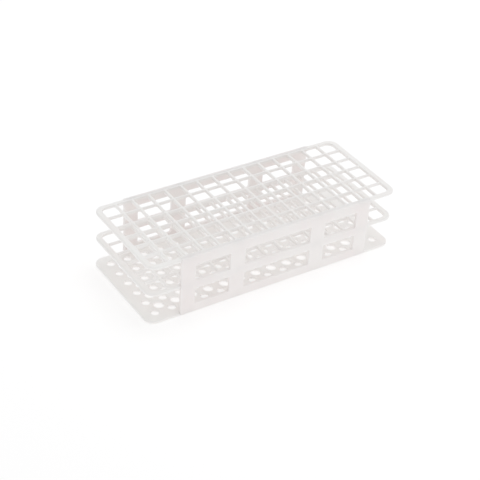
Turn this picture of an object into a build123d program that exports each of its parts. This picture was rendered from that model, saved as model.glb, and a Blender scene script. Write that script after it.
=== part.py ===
from build123d import *
import os

# Test tube rack for 90 tubes: three trays held apart by two side walls that snap on.
# Origin: centre of the footprint, on the surface that the rack stands on.
# +X runs along the rack, +Y towards the rear wall, +Z up. Millimetres.

# ---- driving dimensions ----
tube_diameter = 13.0
tube_clearance = 0.6
columns = 15
rows = 6
column_pitch = 15.6
row_pitch = 15.0

rack_length = 242.4
rack_width = 98.0  # over the outer faces of the two walls
rack_height = 55.8
tray_width = 96.4
base_width = 97.6
tray_corner_radius = 9.0
tray_thickness = 3.1
base_thickness = 2.4
middle_tray_top = 29.7

wall_length = 184.4
wall_thickness = 2.8
inner_leg_width = 14.0
inner_leg_centre = 39.4
outer_leg_width = 13.0
top_beam_height = 9.2
middle_beam_top = 30.8
middle_beam_height = 7.6
bottom_beam_height = 8.4
window_corner_radius = 1.0

seat_hole_diameter = 7.0  # under every tube, holds its round end
drain_hole_diameter = 8.7  # between four tubes
cell_corner_radius = 0.9
end_cell_corner_radius = 5.5  # at the four outermost corners of the grid
tray_edge_fillet = 1.2
base_edge_fillet = 0.5
wall_edge_fillet = 0.5

tongue_length = 8.0
tongue_reach = 1.3
tongue_thickness = 1.2
tongue_root = 0.2  # of its length inside the tray
snap_bead_radius = 0.25
pocket_depth = 1.5
pocket_play = 0.2  # along the rack, on each side of a tongue

# ---- sizes that follow from them ----
cell = tube_diameter + tube_clearance
wall_outer_face = rack_width / 2
wall_inner_face = wall_outer_face - wall_thickness
outer_leg_centre = (wall_length - outer_leg_width) / 2
leg_centres = [-outer_leg_centre, -inner_leg_centre, inner_leg_centre, outer_leg_centre]
middle_window_edge = inner_leg_centre - inner_leg_width / 2
end_window_near_edge = inner_leg_centre + inner_leg_width / 2
end_window_far_edge = wall_length / 2 - outer_leg_width
window_spans = [  # along the rack
    (-end_window_far_edge, -end_window_near_edge),
    (-middle_window_edge, middle_window_edge),
    (end_window_near_edge, end_window_far_edge),
]
window_tiers = [  # heights
    (bottom_beam_height, middle_beam_top - middle_beam_height),
    (middle_beam_top, rack_height - top_beam_height),
]
grid_corner_x = (columns - 1) / 2 * column_pitch + cell / 2
grid_corner_y = (rows - 1) / 2 * row_pitch + cell / 2
corner_search = 1.0  # a vertex nearer than this to the grid's corner is that corner
tray_centre_heights = [
    base_thickness / 2,
    middle_tray_top - tray_thickness / 2,
    rack_height - tray_thickness / 2,
]


def tray_blank(top, thickness, width, edge_fillet):
    """A plain tray: a rounded plate, stepped back where the walls stand, with a tongue for each leg."""
    centre_plane = Plane.XY.offset(top - thickness / 2)
    with BuildPart() as blank:
        with BuildSketch(centre_plane):
            RectangleRounded(rack_length, width, tray_corner_radius)
        extrude(amount=thickness / 2, both=True)
        rims = blank.faces().sort_by(Axis.Z)[0].edges() + blank.faces().sort_by(Axis.Z)[-1].edges()
        fillet(rims, radius=edge_fillet)
        with BuildSketch(centre_plane):
            for side in (-1, 1):
                with Locations((0, side * (wall_inner_face + wall_thickness))):
                    Rectangle(wall_length, 2 * wall_thickness)
        extrude(amount=thickness, both=True, mode=Mode.SUBTRACT)
        for side in (-1, 1):
            for leg_centre in leg_centres:
                snap_tongue(side, leg_centre, top - thickness / 2, tongue_length, tongue_reach, Mode.ADD)
    return blank.part


def snap_tongue(side, leg_centre, height, length, reach, mode):
    """A tongue with a snap bead above and below, or the pocket that it clicks into, inside a builder."""
    section = Plane(
        origin=(leg_centre, side * wall_inner_face, height),
        x_dir=(0, side, 0),
        z_dir=(side, 0, 0),
    )
    root = tongue_root if mode == Mode.ADD else 0.0
    with BuildSketch(section) as profile:
        with Locations(((reach - root) / 2, 0)):
            Rectangle(reach + root, tongue_thickness)
        with Locations((tongue_reach / 2, tongue_thickness / 2), (tongue_reach / 2, -tongue_thickness / 2)):
            Circle(snap_bead_radius)
    extrude(profile.sketch, amount=length / 2, both=True, mode=mode)


def tube_cells(top, thickness):
    """Cuts the 90 square cells through a tray, with the corners of the grid rounded further."""
    with BuildSketch(Plane.XY.offset(top)) as openings:
        with GridLocations(column_pitch, row_pitch, columns, rows):
            Rectangle(cell, cell)
        corners = openings.vertices()
        grid_corners = corners.filter_by(
            lambda v: abs(v.X) > grid_corner_x - corner_search and abs(v.Y) > grid_corner_y - corner_search
        )
        fillet(corners - grid_corners, radius=cell_corner_radius)
        grid_corners = openings.vertices().filter_by(
            lambda v: abs(v.X) > grid_corner_x - corner_search and abs(v.Y) > grid_corner_y - corner_search
        )
        fillet(grid_corners, radius=end_cell_corner_radius)
    extrude(openings.sketch, amount=-thickness, mode=Mode.SUBTRACT)


# ---- trays ----
with BuildPart() as top_tray:
    add(tray_blank(rack_height, tray_thickness, tray_width, tray_edge_fillet))
    tube_cells(rack_height, tray_thickness)

with BuildPart() as middle_tray:
    add(tray_blank(middle_tray_top, tray_thickness, tray_width, tray_edge_fillet))
    tube_cells(middle_tray_top, tray_thickness)

with BuildPart() as bottom_tray:
    add(tray_blank(base_thickness, base_thickness, base_width, base_edge_fillet))
    with BuildSketch(Plane.XY):
        with GridLocations(column_pitch, row_pitch, columns, rows):
            Circle(seat_hole_diameter / 2)
        with GridLocations(column_pitch, row_pitch, columns - 1, rows - 1):
            Circle(drain_hole_diameter / 2)
    extrude(amount=base_thickness, mode=Mode.SUBTRACT)


# ---- walls ----
def side_wall(side):
    """A wall: four legs joined by three beams, with six windows and a pocket for every tray tongue."""
    wall_plane = Plane(
        origin=(0, side * wall_inner_face, rack_height / 2), x_dir=(-side, 0, 0), z_dir=(0, side, 0)
    )
    with BuildPart() as wall:
        with BuildSketch(wall_plane):
            Rectangle(wall_length, rack_height)
            for left, right in window_spans:
                for low, high in window_tiers:
                    with Locations(((left + right) / 2, (low + high - rack_height) / 2)):
                        RectangleRounded(
                            right - left, high - low, window_corner_radius, mode=Mode.SUBTRACT
                        )
        extrude(amount=wall_thickness)
        outer_face = wall.faces().sort_by(Axis.Y)[-1 if side > 0 else 0]
        fillet(outer_face.edges(), radius=wall_edge_fillet)
        for leg_centre in leg_centres:
            for height in tray_centre_heights:
                snap_tongue(
                    side, leg_centre, height, tongue_length + 2 * pocket_play, pocket_depth, Mode.SUBTRACT
                )
    return wall.part


with BuildPart() as front_wall:
    add(side_wall(-1))

with BuildPart() as rear_wall:
    add(side_wall(1))

# ---- files ----
top_tray.part.label = "top_tray"
middle_tray.part.label = "middle_tray"
bottom_tray.part.label = "bottom_tray"
front_wall.part.label = "front_wall"
rear_wall.part.label = "rear_wall"

os.makedirs("parts", exist_ok=True)
export_step(top_tray.part, "parts/top_tray.step")
export_step(middle_tray.part, "parts/middle_tray.step")
export_step(bottom_tray.part, "parts/bottom_tray.step")
export_step(front_wall.part, "parts/front_wall.step")
export_step(rear_wall.part, "parts/rear_wall.step")
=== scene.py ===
import math

import bpy
import numpy as np
from bpy.props import FloatProperty, FloatVectorProperty, IntProperty, PointerProperty
from mathutils import Matrix, Vector
from mathutils.geometry import delaunay_2d_cdt


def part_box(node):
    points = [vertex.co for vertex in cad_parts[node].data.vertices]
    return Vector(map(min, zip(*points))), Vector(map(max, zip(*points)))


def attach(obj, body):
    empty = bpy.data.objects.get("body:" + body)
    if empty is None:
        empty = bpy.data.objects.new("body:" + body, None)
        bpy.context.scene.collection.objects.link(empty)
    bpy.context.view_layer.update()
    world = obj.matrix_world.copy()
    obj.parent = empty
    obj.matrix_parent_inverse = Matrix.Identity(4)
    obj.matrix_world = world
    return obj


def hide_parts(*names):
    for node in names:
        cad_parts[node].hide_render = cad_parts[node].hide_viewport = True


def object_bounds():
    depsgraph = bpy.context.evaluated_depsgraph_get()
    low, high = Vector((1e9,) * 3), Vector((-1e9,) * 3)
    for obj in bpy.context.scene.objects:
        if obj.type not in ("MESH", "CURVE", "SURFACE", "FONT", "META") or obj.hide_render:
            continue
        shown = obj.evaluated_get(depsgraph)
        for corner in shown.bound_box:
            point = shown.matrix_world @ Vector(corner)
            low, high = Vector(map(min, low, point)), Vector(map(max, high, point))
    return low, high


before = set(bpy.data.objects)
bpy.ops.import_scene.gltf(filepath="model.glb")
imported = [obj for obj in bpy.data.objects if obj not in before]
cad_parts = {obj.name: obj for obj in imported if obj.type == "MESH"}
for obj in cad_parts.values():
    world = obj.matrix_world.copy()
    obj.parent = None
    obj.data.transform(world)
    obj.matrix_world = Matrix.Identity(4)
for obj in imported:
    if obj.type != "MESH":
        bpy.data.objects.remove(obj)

bl_info = {
    "name": "Test Tube Rack",
    "version": (1, 0, 0),
    "blender": (4, 5, 0),
    "location": "View3D > Sidebar > Rack",
    "description": "Builds a snap-together test tube rack around its CAD frame",
    "category": "Add Mesh",
}

CAD_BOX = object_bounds()
BODY = "root"
WALL_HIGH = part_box("front_wall")[1]
TRAYS = ("bottom_tray", "middle_tray", "top_tray")
QUARTER_TURN = math.pi / 2

# Steps in a quarter turn: along an outline's corners, and round the section of an edge
TRAY_CORNER_STEPS, CELL_CORNER_STEPS, WINDOW_CORNER_STEPS = 12, 5, 5
WALL_CORNER_STEPS, TONGUE_CORNER_STEPS = 4, 3
RIM_STEPS, WEB_STEPS, HOLE_STEPS, WALL_STEPS = 6, 4, 3, 5
SEAT_HOLE_POINTS, DRAIN_HOLE_POINTS = 28, 32
SHARP_ANGLE = math.radians(50)
COVER_TOLERANCE = 1e-9

# Where a tray steps back for a wall, in metres: outer corner, inner corner and the rounding of the edges
STEP_CORNER, STEP_INNER_CORNER, STEP_ROUNDING = 0.0006, 0.0002, 0.0003
STEP_LEAD = 2.5  # times the rim's rounding: how far from the step the rim begins to sharpen
WALL_CORNER = 0.0006
WALL_BACK_SHARE = 0.4  # of the outer edges' rounding, round the wall's inner face

# A snap tongue, in metres, and its bead as (share of the reach, share of the bead's height)
TONGUE_CORNER, TONGUE_ROOT, TONGUE_TIP = 0.0003, 0.0006, 0.0002
BEAD_SECTION = ((0.28, 0.0), (0.42, 0.7), (0.5, 1.0), (0.58, 0.7), (0.72, 0.0))
POCKET_PLAY = 0.0004  # along the rack, both ends together
POCKET_GROOVE = (0.25, 0.42, 0.58)  # start, deepest line and end, as shares of the pocket's depth

# Plastic: features in a metre, and how the patterns are stretched along the rack
CLOUD_SCALE, FLOW_SCALE, GRAIN_SCALE, RUB_SCALE = 28, 70, 2600, 160
TRAY_FLOW, WALL_FLOW, RUB_STRETCH = (0.2, 1.0, 1.0), (0.15, 1.0, 0.6), (0.25, 1.0, 1.0)
PALE_SHARE, DEEP_SHARES = 1.025, (0.965, 0.968, 0.972)  # of the plastic's colour
BUMP_HEIGHT = 0.00012
PLASTIC_IOR = 1.49
LIGHT_PATH = 0.0025  # how far light goes in the plastic, in metres

# Stage, in metres
FLOOR_HALF, FLOOR_GAP, FLOOR_GLOW = 4.0, 0.0002, 0.34
LAMP_PLACE, LAMP_AIM, LAMP_SIZE = (0.35, 0.15, 1.1), (0, 0, 0.03), (1.2, 0.9)
FILM_WIDTH = 36.0  # millimetres
NEAREST, FURTHEST = 0.05, 20.0


def length(name, description, default):
    """A length in metres, as a property."""
    return FloatProperty(
        name=name, description=description, default=default, min=0.0, precision=5, unit="LENGTH",
        subtype="DISTANCE",
    )


def amount(name, description, default, low=0.0, high=1.0):
    """A number with a lowest and highest value, as a property."""
    return FloatProperty(name=name, description=description, default=default, min=low, max=high)


def degrees(name, description, default):
    """An angle, given in degrees and kept in radians, as a property."""
    return FloatProperty(name=name, description=description, default=math.radians(default), subtype="ANGLE")


# ---------------------------------------------------------------- settings


class RackSizes(bpy.types.PropertyGroup):
    """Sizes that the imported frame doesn't give on its own."""

    columns: IntProperty(name="Columns", description="Tube places along the rack", default=15, min=2)
    rows: IntProperty(name="Rows", description="Tube places across the rack", default=6, min=2)
    column_pitch: length("Column pitch", "From one column of tubes to the next", 0.0156)
    row_pitch: length("Row pitch", "From one row of tubes to the next", 0.0150)
    cell: length("Cell", "Side of a square tube cell", 0.0136)
    cell_corner: length("Cell corner", "Corner radius of a cell", 0.0009)
    end_cell_corner: length("End cell corner", "Radius at the four outermost corners of the grid", 0.0055)
    web_rounding: length("Web rounding", "Rounding along the top and bottom of the webs", 0.0006)
    tray_corner: length("Tray corner", "Corner radius of the upper two trays", 0.0090)
    base_corner: length("Base corner", "Corner radius of the bottom tray", 0.0090)
    tray_rounding: length("Tray rounding", "Rounding along the rim of the upper two trays", 0.0012)
    base_rounding: length("Base rounding", "Rounding along the rim of the bottom tray", 0.0005)
    seat_hole: length("Seat hole", "Diameter of the hole under each tube", 0.0070)
    drain_hole: length("Drain hole", "Diameter of the hole between four tubes", 0.0087)
    hole_rounding: length("Hole rounding", "Rounding along the edges of the bottom tray's holes", 0.0003)
    inner_leg: length("Inner legs", "From the middle of the rack to the centre of an inner leg", 0.0394)
    inner_leg_width: length("Inner leg width", "Width of a wall's inner leg", 0.0140)
    outer_leg_width: length("Outer leg width", "Width of a wall's outer leg", 0.0130)
    top_beam: length("Top beam", "Height of a wall's top beam", 0.0092)
    middle_beam_top: length("Middle beam's top", "Height of the top of a wall's middle beam", 0.0308)
    middle_beam: length("Middle beam", "Height of a wall's middle beam", 0.0076)
    bottom_beam: length("Bottom beam", "Height of a wall's bottom beam", 0.0084)
    window_corner: length("Window corner", "Corner radius of a wall's windows", 0.0010)
    wall_rounding: length("Wall rounding", "Rounding along the edges of a wall's outer face", 0.0005)
    tongue: length("Tongue", "Length of a snap tongue along the rack", 0.0080)
    tongue_height: length("Tongue height", "Thickness of a snap tongue", 0.0012)
    tongue_reach: length("Tongue reach", "How far a tongue goes into its wall", 0.0013)
    pocket_depth: length("Pocket depth", "Depth of the pocket that a tongue clicks into", 0.0015)
    bead: length("Snap bead", "Height of the bead round a tongue", 0.00025)


class RackFinish(bpy.types.PropertyGroup):
    """Colours and texture of the moulded plastic."""

    tray_colour: FloatVectorProperty(
        name="Trays", description="Colour of the three trays", subtype="COLOR", size=3, min=0, max=1,
        default=(0.96, 0.912, 0.884),
    )
    wall_colour: FloatVectorProperty(
        name="Walls", description="Colour of the two walls", subtype="COLOR", size=3, min=0, max=1,
        default=(0.938, 0.868, 0.850),
    )
    roughness: amount("Roughness", "How matt the plastic is", 0.40)
    grain: amount("Grain", "Strength of the fine texture", 0.22)
    translucency: amount("Translucency", "Share of the light that passes into the plastic", 0.75)


class RackStage(bpy.types.PropertyGroup):
    """Camera and light."""

    azimuth: degrees("Azimuth", "Camera's turn round the rack", -34.64)
    elevation: degrees("Elevation", "Camera's height", 35.176)
    roll: degrees("Roll", "Camera's tilt about its own axis", 3.943)
    distance: length("Distance", "From the camera to the point it looks at", 1.1574)
    aim: FloatVectorProperty(
        name="Aim", description="The point that the camera looks at", subtype="TRANSLATION", unit="LENGTH",
        default=(-0.00523, 0.0, 0.01556),
    )
    lens: amount("Lens", "Focal length in millimetres", 101.76, 1, 1000)
    sky: amount("Sky", "Strength of the light from all round", 0.52, 0, 100)
    key: amount("Key", "Power of the large overhead light, in watts", 4.6, 0, 1000)
    softness: amount("Softness", "Gamma of the view: more lifts the shadows", 1.6, 0.5, 3)


def settings():
    """The scene's settings for sizes, finish and stage."""
    scene = bpy.context.scene
    return scene.rack_sizes, scene.rack_finish, scene.rack_stage


# ---------------------------------------------------------------- surfaces


class Outline:
    """A closed outline: points, and at each one the unit normal into the plate and the edge's rounding."""

    def __init__(self, points, inward, rounding):
        self.points = np.asarray(points, float)
        self.inward = np.asarray(inward, float)
        self.rounding = np.broadcast_to(np.asarray(rounding, float), len(self.points))

    def moved(self, x, y):
        return Outline(self.points + (x, y), self.inward, self.rounding)


def rounded_polygon(corners, radii, rounding, steps):
    """A polygon whose corners are arcs.

    At corner C, where the outline turns by t, the arc of radius r is centred at C + (N0 + N1) r / (1 + cos t)
    on the side that it turns to, with N0 and N1 the left normals of the two sides, and its points are that
    centre minus r N(a), with a from N0's angle to N1's. The plate lies to the left of the outline, so its
    inward normal is N(a).
    """
    corners = np.asarray(corners, float)
    along = np.roll(corners, -1, axis=0) - corners
    along /= np.linalg.norm(along, axis=1)[:, None]
    left = np.stack([-along[:, 1], along[:, 0]], axis=1)
    before = np.roll(left, 1, axis=0)
    points, normals, edge = [], [], []
    for corner, n0, n1, radius, rounded in zip(corners, before, left, radii, rounding):
        turn = math.atan2(n0[0] * n1[1] - n0[1] * n1[0], n0 @ n1)
        count = max(1, math.ceil(abs(turn) / QUARTER_TURN * steps)) if radius > 0 else 0
        angle = math.atan2(n0[1], n0[0]) + turn * (np.arange(count + 1) / max(count, 1))
        normal = np.stack([np.cos(angle), np.sin(angle)], axis=1)
        side = math.copysign(1.0, turn) if radius > 0 else 0.0
        centre = corner + side * radius * (n0 + n1) / (1 + math.cos(turn))
        points.append(centre - side * radius * normal)
        normals.append(normal)
        edge.append(np.full(len(normal), rounded))
    return Outline(np.concatenate(points), np.concatenate(normals), np.concatenate(edge))


def hole(outline):
    """The same closed curve round a hole: it runs the other way, and the plate is outside it."""
    return Outline(outline.points[::-1], -outline.inward[::-1], outline.rounding[::-1])


def circle(radius, rounding, count):
    """A round hole: points radius (cos a, -sin a), with the plate outside it."""
    angle = -np.arange(count) * 2 * math.pi / count
    spoke = np.stack([np.cos(angle), np.sin(angle)], axis=1)
    return Outline(radius * spoke, spoke, rounding)


def edge_profile(steps, low_share):
    """The section of a plate's edge, for a unit rounding.

    Rows are (inset, drop from the top face, rise from the bottom face): the upper quarter round is inset
    1 - sin a and drop 1 - cos a, with a from 0 to 90 degrees, and the lower one is the same upside down,
    times low_share.
    """
    angle = np.linspace(0, QUARTER_TURN, steps + 1)
    inset, drop = 1 - np.sin(angle), 1 - np.cos(angle)
    upper = np.stack([inset, drop, np.full(steps + 1, np.nan)], axis=1)
    lower = np.stack([inset * low_share, np.full(steps + 1, np.nan), drop * low_share], axis=1)[::-1]
    return np.concatenate([upper, lower])


def ring_faces(start, around, rows):
    """Quads between rows of a closed ring of points, numbered from start, row after row round the ring."""
    i = np.arange(around)[:, None]
    j = np.arange(rows - 1)[None, :]
    a = start + i * rows + j
    b = start + (i + 1) % around * rows + j
    return np.stack([a, a + 1, b + 1, b], axis=-1).reshape(-1, 4)


class Moulding:
    """Points and faces of one moulded piece, gathered as blocks."""

    def __init__(self):
        self.points, self.faces, self.count = [], [], 0

    def add_points(self, points):
        start = self.count
        self.points.append(np.asarray(points, float).reshape(-1, 3))
        self.count += len(self.points[-1])
        return start

    def sweep(self, outline, top, bottom, steps, low_share=1.0):
        """Carries the edge profile round an outline. Returns the indices of its highest and lowest rows."""
        profile = edge_profile(steps, low_share)
        inset = outline.rounding[:, None] * profile[:, 0]
        flat = outline.points[:, None, :] + outline.inward[:, None, :] * inset[..., None]
        height = np.where(
            np.isnan(profile[:, 1]),
            bottom + outline.rounding[:, None] * profile[:, 2],
            top - outline.rounding[:, None] * profile[:, 1],
        )
        start = self.add_points(np.concatenate([flat, height[..., None]], axis=-1))
        rows = len(profile)
        self.faces += ring_faces(start, len(outline.points), rows).tolist()
        first = start + np.arange(len(outline.points)) * rows
        return first, first + rows - 1

    def pocket(self, outline, mouth, depth, bead):
        """A blind pocket in the lower face: walls with a groove of height bead, and a flat floor."""
        level = np.array([0, *POCKET_GROOVE, 1.0]) * depth
        inset = np.array([0, 0, bead, 0, 0])
        flat = outline.points[:, None, :] + outline.inward[:, None, :] * inset[None, :, None]
        height = np.broadcast_to(mouth + level, flat.shape[:2])
        start = self.add_points(np.concatenate([flat, height[..., None]], axis=-1))
        rows = len(level)
        self.faces += ring_faces(start, len(outline.points), rows)[:, ::-1].tolist()
        first = start + np.arange(len(outline.points)) * rows
        self.faces.append((first + rows - 1).tolist())
        return first

    def cover(self, loops, facing_up):
        """Triangles of a flat face between an outline and its holes, given as the indices of their points.

        Each loop goes in as a polygon, and a triangle in the outline's polygon alone is part of the face.
        """
        index = np.concatenate(loops)
        flat = [Vector(point) for point in np.concatenate(self.points)[index, :2]]
        starts = np.cumsum([0] + [len(loop) for loop in loops])
        polygons = [list(range(a, b)) for a, b in zip(starts, starts[1:])]
        polygons[1:] = [polygon[::-1] for polygon in polygons[1:]]
        result = delaunay_2d_cdt(flat, [], polygons, 1, COVER_TOLERANCE)
        points, _, triangles, point_origins, _, triangle_origins = result
        if len(points) != len(flat):
            raise RuntimeError("outlines of a flat face touch")
        came_from = np.array([origins[0] for origins in point_origins])
        solid = np.array([len(origins) == 1 for origins in triangle_origins])
        made = index[came_from[np.array(triangles)[solid]]]
        self.faces += (made if facing_up else made[:, ::-1]).tolist()

    def peg(self, outline, stations, place):
        """A closed peg: the outline carried along its axis, inset at each station, with flat ends.

        A station is (distance along the axis, inset).
        """
        stations = np.asarray(stations, float)
        flat = outline.points[:, None, :] + outline.inward[:, None, :] * stations[None, :, 1, None]
        height = np.broadcast_to(stations[:, 0], flat.shape[:2])
        local = np.concatenate([flat, height[..., None]], axis=-1).reshape(-1, 3)
        start = self.add_points(transform(local, place))
        rows = len(stations)
        self.faces += ring_faces(start, len(outline.points), rows)[:, ::-1].tolist()
        first = start + np.arange(len(outline.points)) * rows
        self.faces.append(first.tolist()[::-1])
        self.faces.append((first + rows - 1).tolist())

    def object(self, name, material, replaced, place=None):
        """Makes the Blender object, smooth but for its sharp edges, riding on the rack's body."""
        points = np.concatenate(self.points)
        if place is not None:
            points = transform(points, place)
        mesh = bpy.data.meshes.new(name)
        mesh.from_pydata(points.tolist(), [], self.faces)
        mesh.validate()
        mesh.update()
        mesh.shade_smooth()
        mesh.set_sharp_from_angle(angle=SHARP_ANGLE)
        mesh.materials.append(material)
        piece = bpy.data.objects.new(name, mesh)
        bpy.context.scene.collection.objects.link(piece)
        weighted = piece.modifiers.new("flat faces stay flat", "WEIGHTED_NORMAL")
        weighted.keep_sharp = True
        weighted.weight = 100  # by face area alone
        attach(piece, BODY)
        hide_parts(replaced)
        return piece


def transform(points, matrix):
    """Points times a 4 by 4 matrix."""
    matrix = np.asarray(matrix, float)
    return points @ matrix[:3, :3].T + matrix[:3, 3]


def standing(side, x, y, z):
    """Stands a flat shape up on one side of the rack, facing out, with its origin at (x, y, z): a matrix."""
    return Matrix(((-side, 0, 0, x), (0, 0, side, y), (0, 1, 0, z), (0, 0, 0, 1)))


def rectangle(width, height, radius, rounding, steps):
    """A rectangle centred on the origin, with rounded corners."""
    x, y = width / 2, height / 2
    corners = [(x, -y), (x, y), (-x, y), (-x, -y)]
    return rounded_polygon(corners, [radius] * 4, [rounding] * 4, steps)


# ---------------------------------------------------------------- trays


def grid_centres(columns, rows, column_pitch, row_pitch):
    """Centres of a grid of places about the origin."""
    x = (np.arange(columns) - (columns - 1) / 2) * column_pitch
    y = (np.arange(rows) - (rows - 1) / 2) * row_pitch
    return [(float(a), float(b)) for b in y for a in x]


def leg_centres(sizes):
    """Places of a wall's four legs along the rack."""
    outer = WALL_HIGH.x - sizes.outer_leg_width / 2
    return (-outer, -sizes.inner_leg, sizes.inner_leg, outer)


def tray_outline(half_length, half_width, corner, rounding):
    """A tray's rounded rectangle, stepped back along both long edges where a wall stands against it."""
    step_x, step_y = WALL_HIGH.x, -WALL_HIGH.y
    quarter = [  # x, y, corner radius, edge rounding
        (half_length, half_width, corner, rounding),
        (step_x + STEP_LEAD * rounding, half_width, 0.0, rounding),
        (step_x, half_width, STEP_CORNER, STEP_ROUNDING),
        (step_x, step_y, STEP_INNER_CORNER, STEP_ROUNDING),
    ]
    mirrored = [(-x, y, r, e) for x, y, r, e in quarter[::-1]]
    rear = quarter + mirrored
    front = [(-x, -y, r, e) for x, y, r, e in rear]
    path = rear + front
    corners, radii, roundings = [p[:2] for p in path], [p[2] for p in path], [p[3] for p in path]
    return rounded_polygon(corners, radii, roundings, TRAY_CORNER_STEPS)


def tube_cell(sizes, x, y, outer_x, outer_y):
    """A square cell at (x, y). The corner at an outermost corner of the grid is rounded further."""
    half = sizes.cell / 2
    corners = [(half, -half), (half, half), (-half, half), (-half, -half)]
    ends = [abs(x + a) > outer_x and abs(y + b) > outer_y for a, b in corners]
    radii = [sizes.end_cell_corner if end else sizes.cell_corner for end in ends]
    roundings = [sizes.web_rounding] * len(corners)
    return hole(rounded_polygon(corners, radii, roundings, CELL_CORNER_STEPS)).moved(x, y)


def add_tongues(moulding, sizes, middle):
    """Eight snap tongues on a tray's long edges, one for each leg of each wall, at height middle."""
    shape = rectangle(sizes.tongue, sizes.tongue_height, TONGUE_CORNER, 0.0, TONGUE_CORNER_STEPS)
    reach = sizes.tongue_reach
    bead = [(reach * along, -sizes.bead * height) for along, height in BEAD_SECTION]
    stations = [(-TONGUE_ROOT, 0), *bead, (reach - TONGUE_TIP, 0), (reach, TONGUE_TIP)]
    for side in (-1, 1):
        for leg in leg_centres(sizes):
            moulding.peg(shape, stations, standing(side, leg, side * -WALL_HIGH.y, middle))


def build_tray(name, holes, corner, rounding, steps, material):
    """A tray: its outline's edge, the edges of its holes, its two faces and its tongues."""
    sizes = settings()[0]
    low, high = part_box(name)
    moulding = Moulding()
    rows = [moulding.sweep(tray_outline(high.x, high.y, corner, rounding), high.z, low.z, RIM_STEPS)]
    rows += [moulding.sweep(outline, high.z, low.z, steps) for outline in holes]
    moulding.cover([row[0] for row in rows], facing_up=True)
    moulding.cover([row[1] for row in rows], facing_up=False)
    add_tongues(moulding, sizes, (low.z + high.z) / 2)
    return moulding.object(name.replace("_tray", "_tray_moulding"), material, name)


# ---------------------------------------------------------------- walls


def build_wall(name, side, material):
    """A wall in its own plane, x along the rack, y up and z out of the rack, then stood up at its side."""
    sizes = settings()[0]
    low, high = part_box(name)
    height, thickness = high.z - low.z, high.y - low.y
    rounding = sizes.wall_rounding
    outline = rectangle(high.x - low.x, height, WALL_CORNER, rounding, WALL_CORNER_STEPS).moved(0, height / 2)
    near, far = sizes.inner_leg + sizes.inner_leg_width / 2, high.x - sizes.outer_leg_width
    middle_edge = sizes.inner_leg - sizes.inner_leg_width / 2
    spans = [(-far, -near), (-middle_edge, middle_edge), (near, far)]
    tiers = [
        (sizes.bottom_beam, sizes.middle_beam_top - sizes.middle_beam),
        (sizes.middle_beam_top, height - sizes.top_beam),
    ]
    loops = [outline]
    for left, right in spans:
        for lower, upper in tiers:
            width, rise = right - left, upper - lower
            window = rectangle(width, rise, sizes.window_corner, rounding, WINDOW_CORNER_STEPS)
            loops.append(hole(window).moved((left + right) / 2, (lower + upper) / 2))
    moulding = Moulding()
    rows = [moulding.sweep(loop, thickness, 0.0, WALL_STEPS, WALL_BACK_SHARE) for loop in loops]
    pocket_length = sizes.tongue + POCKET_PLAY
    mouth = hole(rectangle(pocket_length, sizes.tongue_height, TONGUE_CORNER, 0.0, TONGUE_CORNER_STEPS))
    heights = [sum(corner.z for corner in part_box(tray)) / 2 for tray in TRAYS]
    pockets = [
        moulding.pocket(mouth.moved(leg, z), 0.0, sizes.pocket_depth, sizes.bead)
        for leg in leg_centres(sizes)
        for z in heights
    ]
    moulding.cover([row[0] for row in rows], facing_up=True)
    moulding.cover([row[1] for row in rows] + pockets, facing_up=False)
    inner_face = low.y if side > 0 else high.y
    place = standing(side, 0, inner_face, 0)
    return moulding.object(name + "_moulding", material, name, place)


# ---------------------------------------------------------------- materials


class Number:
    """A number in a material's node tree. Arithmetic on it adds Math nodes."""

    def __init__(self, tree, socket):
        self.tree, self.socket = tree, socket

    def math(self, operation, *values):
        made = self.tree.node("ShaderNodeMath", {"operation": operation}, dict(enumerate(values)))
        return Number(self.tree, made.outputs[0])

    def __add__(self, other):
        return self.math("ADD", self, other)

    def __mul__(self, other):
        return self.math("MULTIPLY", self, other)

    def __sub__(self, other):
        return self.math("SUBTRACT", self, other)

    def __rsub__(self, other):
        return self.math("SUBTRACT", other, self)

    __radd__, __rmul__ = __add__, __mul__

    def between(self, low, high):
        """0 below low, 1 above high, and smooth from one to the other."""
        inputs = {"Value": self, "From Min": low, "From Max": high}
        made = self.tree.node("ShaderNodeMapRange", {"interpolation_type": "SMOOTHSTEP"}, inputs)
        return Number(self.tree, made.outputs[0])


class MaterialTree:
    """A new material, and the one method that adds a node to it."""

    def __init__(self, name):
        self.material = bpy.data.materials.new(name)
        self.material.use_nodes = True
        self.nodes, self.links = self.material.node_tree.nodes, self.material.node_tree.links
        self.shader = next(n for n in self.nodes if n.type == "BSDF_PRINCIPLED")
        self.position = self.node("ShaderNodeTexCoord").outputs["Object"]

    def node(self, kind, settings_=None, inputs=None):
        made = self.nodes.new(kind)
        for name, value in (settings_ or {}).items():
            setattr(made, name, value)
        for name, value in (inputs or {}).items():
            self.set(made.inputs[name], value)
        return made

    def set(self, socket, value):
        value = value.socket if isinstance(value, Number) else value
        if isinstance(value, bpy.types.NodeSocket):
            self.links.new(value, socket)
        else:
            socket.default_value = value

    def shade(self, inputs):
        """Sets or links the shader's own inputs."""
        for name, value in inputs.items():
            self.set(self.shader.inputs[name], value)

    def noise(self, scale, detail, stretch=(1, 1, 1)):
        """Noise on Object coordinates, with features about 1 / scale metres across.

        A stretch below 1 draws them out along that axis.
        """
        placed = self.node("ShaderNodeMapping", None, {"Vector": self.position, "Scale": stretch})
        inputs = {"Vector": placed.outputs[0], "Scale": scale, "Detail": detail}
        made = self.node("ShaderNodeTexNoise", None, inputs)
        return Number(self, made.outputs["Fac"])

    def mix_colour(self, factor, first, second):
        made = self.node("ShaderNodeMix", {"data_type": "RGBA"}, {0: factor, 6: first, 7: second})
        return made.outputs[2]


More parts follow.
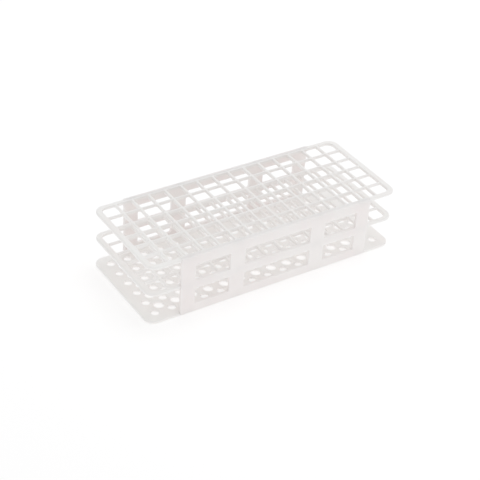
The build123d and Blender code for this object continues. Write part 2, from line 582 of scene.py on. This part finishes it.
def moulded_plastic(name, colour, flow_stretch):
    """Natural white polypropylene: faint clouds and flow lines, a satin grain and a few fine rubs."""
    finish = settings()[1]
    tree = MaterialTree(name)
    cloud = tree.noise(CLOUD_SCALE, 3)
    flow = tree.noise(FLOW_SCALE, 4, flow_stretch)
    grain = tree.noise(GRAIN_SCALE, 2)
    rub = tree.noise(RUB_SCALE, 5, RUB_STRETCH).between(0.60, 0.72)
    pale = (*[min(1.0, c * PALE_SHARE) for c in colour], 1)
    deep = (*[c * k for c, k in zip(colour, DEEP_SHARES)], 1)
    shade = (cloud * 0.7 + flow * 0.3).between(0.35, 0.65)  # 0 where deep, 1 where pale
    sheen = finish.roughness + (cloud - 0.5) * 0.16 + (grain - 0.5) * 0.10 - rub * 0.06
    relief = grain * 0.5 + flow * 0.9 + rub * 0.12
    inputs = {"Height": relief, "Strength": finish.grain, "Distance": BUMP_HEIGHT}
    bump = tree.node("ShaderNodeBump", None, inputs)
    tree.shade({
        "Base Color": tree.mix_colour(shade, deep, pale),
        "Roughness": sheen,
        "Normal": bump.outputs[0],
        "IOR": PLASTIC_IOR,
        "Subsurface Weight": finish.translucency,
        "Subsurface Radius": (1.0, 1.0, 1.0),
        "Subsurface Scale": LIGHT_PATH,
    })
    return tree.material


def stage_floor(name):
    """A plain pale floor that hardly takes a shadow."""
    tree = MaterialTree(name)
    tone = tree.noise(3, 2)
    tree.shade({
        "Base Color": tree.mix_colour(tone, (0.90, 0.90, 0.90, 1), (0.92, 0.92, 0.92, 1)),
        "Roughness": 0.9,
        "Emission Color": (1.0, 1.0, 1.0, 1),
        "Emission Strength": FLOOR_GLOW,
    })
    return tree.material


def tray_plastic():
    """The trays' material, made once."""
    made = bpy.data.materials.get("tray_plastic_moulded")
    return made or moulded_plastic("tray_plastic_moulded", settings()[1].tray_colour, TRAY_FLOW)


def wall_plastic():
    """The walls' material, made once."""
    made = bpy.data.materials.get("wall_plastic_moulded")
    return made or moulded_plastic("wall_plastic_moulded", settings()[1].wall_colour, WALL_FLOW)


# ---------------------------------------------------------------- operators


class RACK_OT_grid_trays(bpy.types.Operator):
    """Builds the top and middle trays, each a grid of square tube cells"""

    bl_idname = "rack.grid_trays"
    bl_label = "Top and Middle Trays"

    def execute(self, context):
        sizes = settings()[0]
        centres = grid_centres(sizes.columns, sizes.rows, sizes.column_pitch, sizes.row_pitch)
        outer_x, outer_y = np.max(centres, axis=0)
        cells = [tube_cell(sizes, x, y, outer_x, outer_y) for x, y in centres]
        for name in ("top_tray", "middle_tray"):
            build_tray(name, cells, sizes.tray_corner, sizes.tray_rounding, WEB_STEPS, tray_plastic())
        return {"FINISHED"}


class RACK_OT_bottom_tray(bpy.types.Operator):
    """Builds the bottom tray, with a seat hole under each tube and drain holes between them"""

    bl_idname = "rack.bottom_tray"
    bl_label = "Bottom Tray"

    def execute(self, context):
        sizes = settings()[0]
        pitch = (sizes.column_pitch, sizes.row_pitch)
        seat = circle(sizes.seat_hole / 2, sizes.hole_rounding, SEAT_HOLE_POINTS)
        drain = circle(sizes.drain_hole / 2, sizes.hole_rounding, DRAIN_HOLE_POINTS)
        holes = [seat.moved(x, y) for x, y in grid_centres(sizes.columns, sizes.rows, *pitch)]
        holes += [drain.moved(x, y) for x, y in grid_centres(sizes.columns - 1, sizes.rows - 1, *pitch)]
        build_tray("bottom_tray", holes, sizes.base_corner, sizes.base_rounding, HOLE_STEPS, tray_plastic())
        return {"FINISHED"}


class RACK_OT_side_walls(bpy.types.Operator):
    """Builds the two side walls, with their windows and snap pockets"""

    bl_idname = "rack.side_walls"
    bl_label = "Side Walls"

    def execute(self, context):
        for name, side in (("front_wall", -1), ("rear_wall", 1)):
            build_wall(name, side, wall_plastic())
        return {"FINISHED"}


class RACK_OT_stage(bpy.types.Operator):
    """Sets up the floor, the soft lights and the camera"""

    bl_idname = "rack.stage"
    bl_label = "Stage"

    def execute(self, context):
        stage = settings()[2]
        half = FLOOR_HALF
        corners = [(-half, -half, 0), (half, -half, 0), (half, half, 0), (-half, half, 0)]
        mesh = bpy.data.meshes.new("floor")
        mesh.from_pydata(corners, [], [(0, 1, 2, 3)])
        mesh.materials.append(stage_floor("stage_floor"))
        floor = bpy.data.objects.new("floor", mesh)
        floor.location.z = CAD_BOX[0].z - FLOOR_GAP
        context.scene.collection.objects.link(floor)

        world = bpy.data.worlds.new("soft studio")
        world.use_nodes = True
        sky = world.node_tree.nodes["Background"]
        sky.inputs["Color"].default_value = (1.0, 1.0, 1.0, 1)
        sky.inputs["Strength"].default_value = stage.sky
        context.scene.world = world

        key = bpy.data.lights.new("overhead softbox", "AREA")
        key.shape, key.energy = "RECTANGLE", stage.key
        key.size, key.size_y = LAMP_SIZE
        lamp = bpy.data.objects.new("overhead softbox", key)
        lamp.location = LAMP_PLACE
        lamp.rotation_euler = (Vector(LAMP_AIM) - lamp.location).to_track_quat("-Z", "Y").to_euler()
        context.scene.collection.objects.link(lamp)

        context.scene.view_settings.view_transform = "Standard"
        context.scene.view_settings.gamma = stage.softness
        context.scene.camera = stage_camera(stage)
        return {"FINISHED"}


def stage_camera(stage):
    """The camera, at its azimuth and elevation round the aim point, then rolled about its own axis."""
    azimuth, elevation, roll = stage.azimuth, stage.elevation, stage.roll
    flat = math.cos(elevation)
    back = Vector((math.sin(azimuth) * flat, -math.cos(azimuth) * flat, math.sin(elevation)))
    right = Vector((0, 0, 1)).cross(back).normalized()
    up = back.cross(right)
    rolled_right = right * math.cos(roll) + up * math.sin(roll)
    rolled_up = up * math.cos(roll) - right * math.sin(roll)
    lens = bpy.data.cameras.new("camera")
    lens.lens, lens.sensor_width, lens.clip_start, lens.clip_end = stage.lens, FILM_WIDTH, NEAREST, FURTHEST
    camera = bpy.data.objects.new("camera", lens)
    facing = Matrix((rolled_right, rolled_up, back)).transposed().to_4x4()
    camera.matrix_world = Matrix.Translation(Vector(stage.aim) + back * stage.distance) @ facing
    bpy.context.scene.collection.objects.link(camera)
    return camera


class RACK_PT_panel(bpy.types.Panel):
    """The rack's buttons"""

    bl_idname = "RACK_PT_panel"
    bl_label = "Test Tube Rack"
    bl_space_type = "VIEW_3D"
    bl_region_type = "UI"
    bl_category = "Rack"

    def draw(self, context):
        for operator in OPERATORS:
            self.layout.operator(operator.bl_idname)


OPERATORS = (RACK_OT_grid_trays, RACK_OT_bottom_tray, RACK_OT_side_walls, RACK_OT_stage)
GROUPS = {"rack_sizes": RackSizes, "rack_finish": RackFinish, "rack_stage": RackStage}


def register():
    for group in GROUPS.values():
        bpy.utils.register_class(group)
    for name, group in GROUPS.items():
        setattr(bpy.types.Scene, name, PointerProperty(type=group))
    for operator in OPERATORS:
        bpy.utils.register_class(operator)
    bpy.utils.register_class(RACK_PT_panel)


def unregister():
    bpy.utils.unregister_class(RACK_PT_panel)
    for operator in reversed(OPERATORS):
        bpy.utils.unregister_class(operator)
    for name in GROUPS:
        delattr(bpy.types.Scene, name)
    for group in reversed(GROUPS.values()):
        bpy.utils.unregister_class(group)


def main():
    """Builds the whole rack and its stage."""
    register()
    bpy.ops.rack.grid_trays()
    bpy.ops.rack.bottom_tray()
    bpy.ops.rack.side_walls()
    bpy.ops.rack.stage()


if __name__ == "__main__":
    main()
